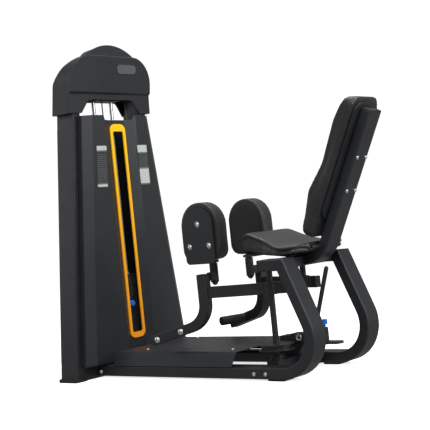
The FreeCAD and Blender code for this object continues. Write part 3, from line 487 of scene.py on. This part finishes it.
def padded(node, name, inset, cap, held):
    """Cover made from a plain CAD solid: remeshed, drawn in by inset, swollen and smoothed."""
    piece = bpy.data.objects.new(name, NODES[node].data.copy())
    bpy.context.scene.collection.objects.link(piece)
    remesh = piece.modifiers.new("remesh", "REMESH")
    remesh.mode = "VOXEL"
    remesh.voxel_size = VOXEL
    shrink = piece.modifiers.new("shrink", "DISPLACE")
    shrink.mid_level = 0
    shrink.strength = -inset
    soften = piece.modifiers.new("soften", "SMOOTH")
    soften.iterations = SOFTEN_ROUNDS
    applied(piece)
    inflate(piece, cap, held)
    relax = piece.modifiers.new("relax", "SMOOTH")
    relax.iterations = RELAX_ROUNDS
    fine = piece.modifiers.new("fine", "SUBSURF")
    fine.levels = 1
    fine.render_levels = 1
    applied(piece)
    smooth(piece.data)
    return piece


def seam_groove(piece, distance_to_seam, depth=1.3 * MM, width=3.2 * MM):
    """Pull the cover in along a seam, given each point's distance from the seam surface."""
    mesh = piece.data
    points = coordinates(mesh)
    normals = np.empty(len(points) * 3)
    mesh.vertices.foreach_get("normal", normals)
    pull = depth * np.exp(-(distance_to_seam(points) / width) ** 2)
    set_coordinates(mesh, points - normals.reshape(-1, 3) * pull[:, None])


def contour(mesh, bend, level, shortest=20):
    """Ordered loops where bend(points) crosses a level on a mesh; tiny loops are dropped."""
    cutter = bmesh.new()
    cutter.from_mesh(mesh)
    heights = bend(coordinates(mesh))
    layer = cutter.verts.layers.float.new("height")
    for vertex, height in zip(cutter.verts, heights):
        vertex[layer] = height - level
    crossings = {}
    links = {}
    for face in cutter.faces:
        ends = []
        for edge in face.edges:
            a, b = edge.verts
            if (a[layer] < 0) != (b[layer] < 0):
                share = a[layer] / (a[layer] - b[layer])
                crossings[edge.index] = a.co.lerp(b.co, share)
                ends.append(edge.index)
        if len(ends) == 2:
            links.setdefault(ends[0], []).append(ends[1])
            links.setdefault(ends[1], []).append(ends[0])
    loops = []
    while links:
        start = next(iter(links))
        loop, here = [], start
        while here in links:
            loop.append(crossings[here])
            onward = [other for other in links.pop(here) if other in links]
            if not onward:
                break
            here = onward[0]
        if len(loop) > shortest:
            loops.append(loop)
    cutter.free()
    return [even_loop(loop) for loop in loops]


def even_loop(loop, gap=4 * MM, fewest=12):
    """The same closed loop with evenly spaced, lightly smoothed points."""
    points = np.array([tuple(p) for p in loop] + [tuple(loop[0])])
    steps = np.linalg.norm(np.diff(points, axis=0), axis=1)
    along = np.concatenate([[0], np.cumsum(steps)])
    count = max(int(along[-1] / gap), fewest)
    places = np.linspace(0, along[-1], count, endpoint=False)
    even = np.stack([np.interp(places, along, points[:, k]) for k in range(3)], axis=1)
    for _ in range(3):
        even = (np.roll(even, 1, axis=0) + 2 * even + np.roll(even, -1, axis=0)) / 4
    return even


def piping(piece, name, bend, level, body, radius=1.8 * MM):
    """Sewn piping round a pad where bend(points) equals a level, with its pulled-in seam."""
    seam_groove(piece, lambda points: bend(points) - level)
    return tube_curve(name, contour(piece.data, bend, level), radius, "upholstery", body)


def finish_pad(piece, node, body):
    """Upholster a cover and let it stand in for its CAD node on a body."""
    piece.data.materials.clear()
    piece.data.materials.append(MATERIALS["upholstery"])
    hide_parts(node)
    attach(piece, body)


THIGH_HELD = 9 * MM
THIGH_SEAM_REAR = 11 * MM
THIGH_SEAM_FRONT = 13 * MM


def thigh_pads():
    """Thigh pads, each with a sewn seam near the board and one near the front face."""
    for side_name, side in SIDES:
        node = side_name + "_pad_cushion"
        low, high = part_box(node)
        back = high.y if side > 0 else low.y
        front = low.y if side > 0 else high.y

        def depth(points, back=back, side=side):
            """Distance in from the board."""
            return (back - points[:, 1]) * side

        piece = padded(node, side_name + "_pad_cover", 2 * MM, 4 * MM,
                       lambda points, depth=depth: depth(points) < THIGH_HELD)
        finish_pad(piece, node, side_name + "_pad")
        thick = abs(back - front)
        for index, level in enumerate((THIGH_SEAM_REAR, thick - THIGH_SEAM_FRONT)):
            piping(piece, "%s_pad_piping_%d" % (side_name, index), depth, level,
                   side_name + "_pad")


BACK_SLOPE = 0.5117
BACK_HELD = 10 * MM
BACK_SEAM = 14 * MM


def back_cushion():
    """Back pad: its depth is measured square to the leaning back tube."""
    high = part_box("back_plate")[1]
    lean = math.atan(BACK_SLOPE)
    rear = np.array([high.x, 0, high.z])
    outward = np.array([math.cos(lean), 0, -math.sin(lean)])

    def depth(points):
        return -(points - rear) @ outward

    base = depth(coordinates(NODES["back_cushion"].data)).min()
    piece = padded("back_cushion", "back_cover", 2.5 * MM, 5 * MM,
                   lambda points: depth(points) < base + BACK_HELD)
    finish_pad(piece, "back_cushion", "frame")
    piping(piece, "back_piping", depth, base + BACK_SEAM, "frame")


SEAT_ROLL = 20 * MM
SEAT_NOSE_RISE = 32 * MM
SEAT_NOSE_SHARE = 0.66
SEAT_HELD = 8 * MM
SEAT_SEAM = 9 * MM


def top_line(points, step=6 * MM):
    """Function that gives how far points lie under the pad's highest part at their X."""
    start = points[:, 0].min()
    slots = ((points[:, 0] - start) / step).astype(int)
    highest = np.full(slots.max() + 1, -1.0)
    np.maximum.at(highest, slots, points[:, 2])
    highest = np.convolve(np.pad(highest, 2, mode="edge"), np.ones(5) / 5, mode="valid")
    places = start + (np.arange(len(highest)) + 0.5) * step

    def below(found):
        return np.interp(found[:, 0], places, highest) - found[:, 2]

    return below


def seat_cushion():
    """Seat pad: a soft roll runs round its top edge and a seam round its bottom edge."""
    low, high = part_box("seat_cushion")

    def under(points):
        """Height over the seat's lower edge line, which falls from the nose to the rear."""
        nose = low.z + SEAT_NOSE_RISE
        share = np.clip((points[:, 0] - low.x) / (SEAT_NOSE_SHARE * (high.x - low.x)), 0, 1)
        return points[:, 2] - (nose + (low.z - nose) * share)

    piece = padded("seat_cushion", "seat_cover", 2 * MM, 4 * MM,
                   lambda points: under(points) < SEAT_HELD)
    crown = top_line(coordinates(piece.data))
    seam_groove(piece, lambda points: crown(points) - SEAT_ROLL, depth=4 * MM, width=4 * MM)
    seam_groove(piece, lambda points: crown(points) - SEAT_ROLL / 2, depth=-3 * MM,
                width=6 * MM)
    finish_pad(piece, "seat_cushion", "frame")
    piping(piece, "seat_piping_low", under, SEAT_SEAM, "frame")


# ---- screws, caps and trim ------------------------------------------------------------------

def turned(profile, segments=32):
    """Mesh of a profile of (radius, height) turned about Z."""
    mesh = bmesh.new()
    rings = []
    for radius, height in profile:
        if radius == 0:
            rings.append([mesh.verts.new((0, 0, height))])
            continue
        rings.append([mesh.verts.new((radius * math.cos(a), radius * math.sin(a), height))
                      for a in np.linspace(0, 2 * math.pi, segments, endpoint=False)])
    for lower, upper in zip(rings, rings[1:]):
        for i in range(segments):
            j = (i + 1) % segments
            corners = [lower[i % len(lower)], lower[j % len(lower)], upper[j % len(upper)],
                       upper[i % len(upper)]]
            unique = list(dict.fromkeys(corners))
            if len(unique) > 2:
                mesh.faces.new(unique)
    bmesh.ops.recalc_face_normals(mesh, faces=mesh.faces)
    return mesh


WASHER_THICK = 1.4 * MM
WASHER_EDGE = 0.4 * MM
SOCKET_FLOOR = 1.8 * MM


def screw_mesh(radius):
    """Button head screw with a hexagon socket, on a washer."""
    washer = 1.35 * radius
    hexagon = 0.46 * radius
    dome_rise = 0.62 * radius
    disc = [(0, 0), (washer, 0), (washer, WASHER_THICK - WASHER_EDGE),
            (washer - WASHER_EDGE, WASHER_THICK)]
    dome = [(radius * math.cos(a), WASHER_THICK + dome_rise * math.sin(a))
            for a in np.linspace(0, 0.40 * math.pi, 7)]
    rim = dome[-1][1]
    socket = [(hexagon * 1.15, rim + 0.2 * MM), (hexagon, rim - 0.1 * MM),
              (hexagon, SOCKET_FLOOR), (0, SOCKET_FLOOR)]
    mesh = turned(disc + dome + socket)
    data = bpy.data.meshes.new("screw")
    for vertex in mesh.verts:
        reach = math.hypot(vertex.co.x, vertex.co.y)
        if 0 < reach <= hexagon * 1.01:
            angle = math.atan2(vertex.co.y, vertex.co.x) % (math.pi / 3) - math.pi / 6
            grow = math.cos(math.pi / 6) / math.cos(angle)
            vertex.co.x *= grow
            vertex.co.y *= grow
    mesh.to_mesh(data)
    mesh.free()
    smooth(data)
    return data


def screw(name, place, outward, radius, body):
    """Screw whose washer lies at place and whose head points outward."""
    turn = Vector((0, 0, 1)).rotation_difference(Vector(outward)).to_matrix().to_4x4()
    mesh = screw_mesh(radius)
    mesh.transform(Matrix.Translation(place) @ turn)
    return add_piece(name, mesh, "fastener_steel", body)


# Places in the record's joints, and where screws sit: (forward or aside, up) from the pivot
# at floor level for the arms, and from the plate's lower middle for the pads.
JOINTS = {joint["name"]: joint for joint in frame["record"]["behaviour"]["joints"]}
PIVOT = {name: Vector(JOINTS[name + "_arm_swing"]["pos_m"]) * Vector((1, 1, 0))
         for name, _ in SIDES}
PAD_POST = {name: Vector(JOINTS[name + "_pad_swivel"]["pos_m"]) for name, _ in SIDES}
SPLAY = math.radians(16.5)
ARM_SCREW_RADIUS = 9 * MM
ARM_FACE = 25 * MM
ARM_SCREWS = ((519 * MM, 175 * MM), (408 * MM, 203 * MM))
PAD_SCREW_RADIUS = 9 * MM
PAD_SCREWS = ((0, 165 * MM), (-52 * MM, 74 * MM), (52 * MM, 74 * MM))
RAIL_SCREW_RADIUS = 8 * MM
RAIL_SCREW_INSET = 20 * MM
RAIL_SCREW_RISE = 22 * MM
POST_SCREW_RADIUS = 8 * MM


def outward_of(side):
    """Direction square to a splayed arm, away from the seat."""
    return Vector((math.sin(SPLAY), side * math.cos(SPLAY), 0))


def along_arm(side_name, side, forward, outward, height):
    """A place in the arm's own frame: forward from the pivot, outward, and up."""
    ahead = Vector((-math.cos(SPLAY), side * math.sin(SPLAY), 0))
    across = outward_of(side) * outward
    return PIVOT[side_name] + ahead * forward + across + Vector((0, 0, height))


def screws():
    """Screws through the pad plates and the arm tubes."""
    for name, side in SIDES:
        low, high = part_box(name + "_pad_plate")
        face = high.y if side > 0 else low.y
        middle = (low.x + high.x) / 2
        for index, (aside, rise) in enumerate(PAD_SCREWS):
            screw("%s_pad_screw_%d" % (name, index), (middle + aside, face, low.z + rise),
                  (0, side, 0), PAD_SCREW_RADIUS, name + "_pad")
        for index, (forward, height) in enumerate(ARM_SCREWS):
            place = along_arm(name, side, forward, ARM_FACE, height)
            screw("%s_arm_screw_%d" % (name, index), place, outward_of(side),
                  ARM_SCREW_RADIUS, name + "_arm")


def rail_front_screws():
    """Screws that hold the side frames to the tower's crossbar."""
    for name, side in SIDES:
        low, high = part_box("side_frame_" + name)
        face = high.y if side > 0 else low.y
        place = (low.x + RAIL_SCREW_INSET, face, low.z + RAIL_SCREW_RISE)
        screw(name + "_rail_front_screw", place, (0, side, 0), RAIL_SCREW_RADIUS, "frame")


RING_PROFILE_MM = ((0, 0), (6, 0), (6, 1.5), (7, 2), (7, 0.6), (10.5, 0.6), (10.5, 2.4),
                   (14, 2.4), (14.6, 1.6), (14.6, 0))
RING_INSET = 19 * MM
RING_DROP = 17 * MM


def sheave_rings():
    """Bearing faces on both sides of the sheave housing."""
    low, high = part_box("sheave_block")
    centre = Vector((high.x - RING_INSET, 0, high.z - RING_DROP))
    for name, side in SIDES:
        mesh = turned([(radius * MM, height * MM) for radius, height in RING_PROFILE_MM])
        data = bpy.data.meshes.new(name + "_sheave_ring")
        mesh.to_mesh(data)
        mesh.free()
        face = high.y if side > 0 else low.y
        turn = Vector((0, 0, 1)).rotation_difference(Vector((0, side, 0))).to_matrix().to_4x4()
        data.transform(Matrix.Translation((centre.x, face, centre.z)) @ turn)
        smooth(data)
        add_piece(name + "_sheave_ring", data, "fastener_steel", "frame")


def rounded_box(name, low, high, radius, slot, body, turn=None):
    """Box with rounded edges between two corners, optionally turned by a matrix."""
    mesh = bmesh.new()
    bmesh.ops.create_cube(mesh, size=1)
    size = Vector(high) - Vector(low)
    centre = (Vector(high) + Vector(low)) / 2
    for vertex in mesh.verts:
        vertex.co = Vector([vertex.co[k] * size[k] for k in range(3)])
    bmesh.ops.bevel(mesh, geom=list(mesh.edges), offset=radius, segments=4, profile=0.5,
                    affect="EDGES")
    data = bpy.data.meshes.new(name)
    mesh.to_mesh(data)
    mesh.free()
    data.transform(Matrix.Translation(centre))
    if turn:
        data.transform(turn)
    smooth(data)
    return add_piece(name, data, slot, body)


# Corners of the plugs: the arm's from its pivot at floor level, the back tube's from its top.
CAP_ROUNDING = 2 * MM
ARM_CAP = ((-312.5 * MM, -24 * MM, 427.5 * MM), (-271.5 * MM, 24 * MM, 432.5 * MM))
SEAT_BAR_CAP_X = (996.5 * MM, 1001.5 * MM)
SEAT_BAR_CAP_Z = (432 * MM, 474.5 * MM)
SEAT_BAR_WALL = 1.5 * MM
BACK_CAP = ((-19.5 * MM, -42.5 * MM, -1 * MM), (19.5 * MM, 42.5 * MM, 4 * MM))
BACK_TUBE_TOP = (1442 * MM, 0, 1011 * MM)


def tube_caps():
    """Plastic plugs in the open tube ends."""
    for name, side in SIDES:
        turn = (Matrix.Translation(PIVOT[name])
                @ Matrix.Rotation(-side * SPLAY, 4, "Z"))
        rounded_box(name + "_arm_top_cap", *ARM_CAP, CAP_ROUNDING, "rubber", name + "_arm", turn)
        low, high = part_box("side_frame_" + name)
        near_edge = low.y + SEAT_BAR_WALL
        far_edge = high.y - SEAT_BAR_WALL
        rounded_box(name + "_seat_bar_cap", (SEAT_BAR_CAP_X[0], near_edge, SEAT_BAR_CAP_Z[0]),
                    (SEAT_BAR_CAP_X[1], far_edge, SEAT_BAR_CAP_Z[1]), CAP_ROUNDING, "rubber",
                    "frame")
    lean = math.atan(BACK_SLOPE)
    turn = Matrix.Translation(BACK_TUBE_TOP) @ Matrix.Rotation(lean, 4, "Y")
    rounded_box("back_tube_cap", *BACK_CAP, CAP_ROUNDING, "rubber", "frame", turn)


def post_end_domes():
    """Bright domed screws under the pad posts."""
    for name, _ in SIDES:
        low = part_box(name + "_pad_post")[0]
        place = Vector((PAD_POST[name].x, PAD_POST[name].y, low.z))
        screw(name + "_post_screw", place, (0, 0, -1), POST_SCREW_RADIUS, name + "_pad")


LANYARD_START = (46 * MM, 12 * MM)
LANYARD_CORD = 1.1 * MM
LANYARD_COIL = 4.2 * MM
LANYARD_TURNS = 22
LANYARD_SAMPLES = 24 * LANYARD_TURNS
LANYARD_BULGE = 12 * MM
LANYARD_ENDS = 12


def lanyard():
    """Coiled cord from the stack's top plate down to the selector knob."""
    low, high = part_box("selector_knob")
    start = Vector((*LANYARD_START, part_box("weight_carriage")[1].z - 6 * MM))
    end = Vector(((low.x + high.x) / 2, 0, high.z - 1 * MM))
    points = []
    for sample in range(LANYARD_SAMPLES + 1):
        share = sample / LANYARD_SAMPLES
        centre = start.lerp(end, share)
        centre.x += LANYARD_BULGE * math.sin(math.pi * share)
        angle = 2 * math.pi * LANYARD_TURNS * share
        coil = LANYARD_COIL * min(1, LANYARD_ENDS * share, LANYARD_ENDS * (1 - share))
        points.append(centre + Vector((math.cos(angle), math.sin(angle), 0)) * coil)
    tube_curve("selector_lanyard", [points], LANYARD_CORD, "cable_coating", "selector",
               closed=False)


# ---- studio ---------------------------------------------------------------------------------

CAMERA_PLACE = (3.6013, -3.6077, 0.6670)
CAMERA_YAW = 0.6914
CAMERA_PITCH = -0.0009
CAMERA_ROLL = 0.1018
CAMERA_LENS = 90.85
CAMERA_SENSOR = 36


def camera():
    """Camera at the fitted place and angles, set as the scene's camera."""
    right = Vector((math.cos(CAMERA_YAW), math.sin(CAMERA_YAW), 0))
    forward = Vector((-math.sin(CAMERA_YAW) * math.cos(CAMERA_PITCH),
                      math.cos(CAMERA_YAW) * math.cos(CAMERA_PITCH), -math.sin(CAMERA_PITCH)))
    down = forward.cross(right)
    across = right * math.cos(CAMERA_ROLL) + down * math.sin(CAMERA_ROLL)
    below = down * math.cos(CAMERA_ROLL) - right * math.sin(CAMERA_ROLL)
    data = bpy.data.cameras.new("camera")
    data.lens = CAMERA_LENS
    data.sensor_width = CAMERA_SENSOR
    item = bpy.data.objects.new("camera", data)
    turn = Matrix((across, -below, -forward)).transposed().to_4x4()
    item.matrix_world = Matrix.Translation(CAMERA_PLACE) @ turn
    bpy.context.scene.collection.objects.link(item)
    bpy.context.scene.camera = item


def softbox(name, place, aim, size, power):
    """Rectangular area light that faces a point."""
    data = bpy.data.lights.new(name, "AREA")
    data.shape = "RECTANGLE"
    data.size, data.size_y = size
    data.energy = power
    item = bpy.data.objects.new(name, data)
    item.location = place
    item.rotation_euler = (Vector(aim) - Vector(place)).to_track_quat("-Z", "Y").to_euler()
    bpy.context.scene.collection.objects.link(item)


FLOOR_REACH = 60
STUDIO_CENTRE = (0.7, 0, 0.7)
SOFTBOXES = (
    ("key", (3.4, -2.6, 3.6), (2.4, 2.4), 110),
    ("right", (4.6, 0.8, 1.8), (1.6, 3.0), 70),
    ("top", (0.6, 0.6, 4.2), (3.2, 2.2), 100),
    ("left", (-2.8, -1.8, 1.8), (1.2, 2.6), 14),
)
BACKDROP_STRENGTH = 1.05
SOFT_LIGHT_STRENGTH = 0.30


def studio_world():
    """White backdrop for the camera and a much weaker white light for everything else."""
    world = bpy.data.worlds.new("studio")
    world.use_nodes = True
    nodes, links = world.node_tree.nodes, world.node_tree.links
    backdrop = nodes["Background"]
    soft_light = nodes.new("ShaderNodeBackground")
    for background, strength in ((backdrop, BACKDROP_STRENGTH),
                                 (soft_light, SOFT_LIGHT_STRENGTH)):
        background.inputs["Color"].default_value = (1, 1, 1, 1)
        background.inputs["Strength"].default_value = strength
    seen = nodes.new("ShaderNodeLightPath")
    choose = nodes.new("ShaderNodeMixShader")
    links.new(seen.outputs["Is Camera Ray"], choose.inputs[0])
    links.new(soft_light.outputs[0], choose.inputs[1])
    links.new(backdrop.outputs[0], choose.inputs[2])
    links.new(choose.outputs[0], nodes["World Output"].inputs[0])
    return world


def studio():
    """Floor, lights and world."""
    mesh = bmesh.new()
    bmesh.ops.create_grid(mesh, x_segments=8, y_segments=8, size=FLOOR_REACH)
    data = bpy.data.meshes.new("floor")
    mesh.to_mesh(data)
    mesh.free()
    data.materials.append(studio_floor("studio_floor"))
    floor = bpy.data.objects.new("floor", data)
    bpy.context.scene.collection.objects.link(floor)
    floor.visible_glossy = False
    floor.visible_diffuse = False
    for name, place, size, power in SOFTBOXES:
        softbox(name, place, STUDIO_CENTRE, size, power)
    bpy.context.scene.world = studio_world()
    bpy.context.scene.view_settings.view_transform = "Standard"


dress_cad()
thigh_pads()
back_cushion()
seat_cushion()
screws()
rail_front_screws()
sheave_rings()
tube_caps()
post_end_domes()
lanyard()
studio()
camera()
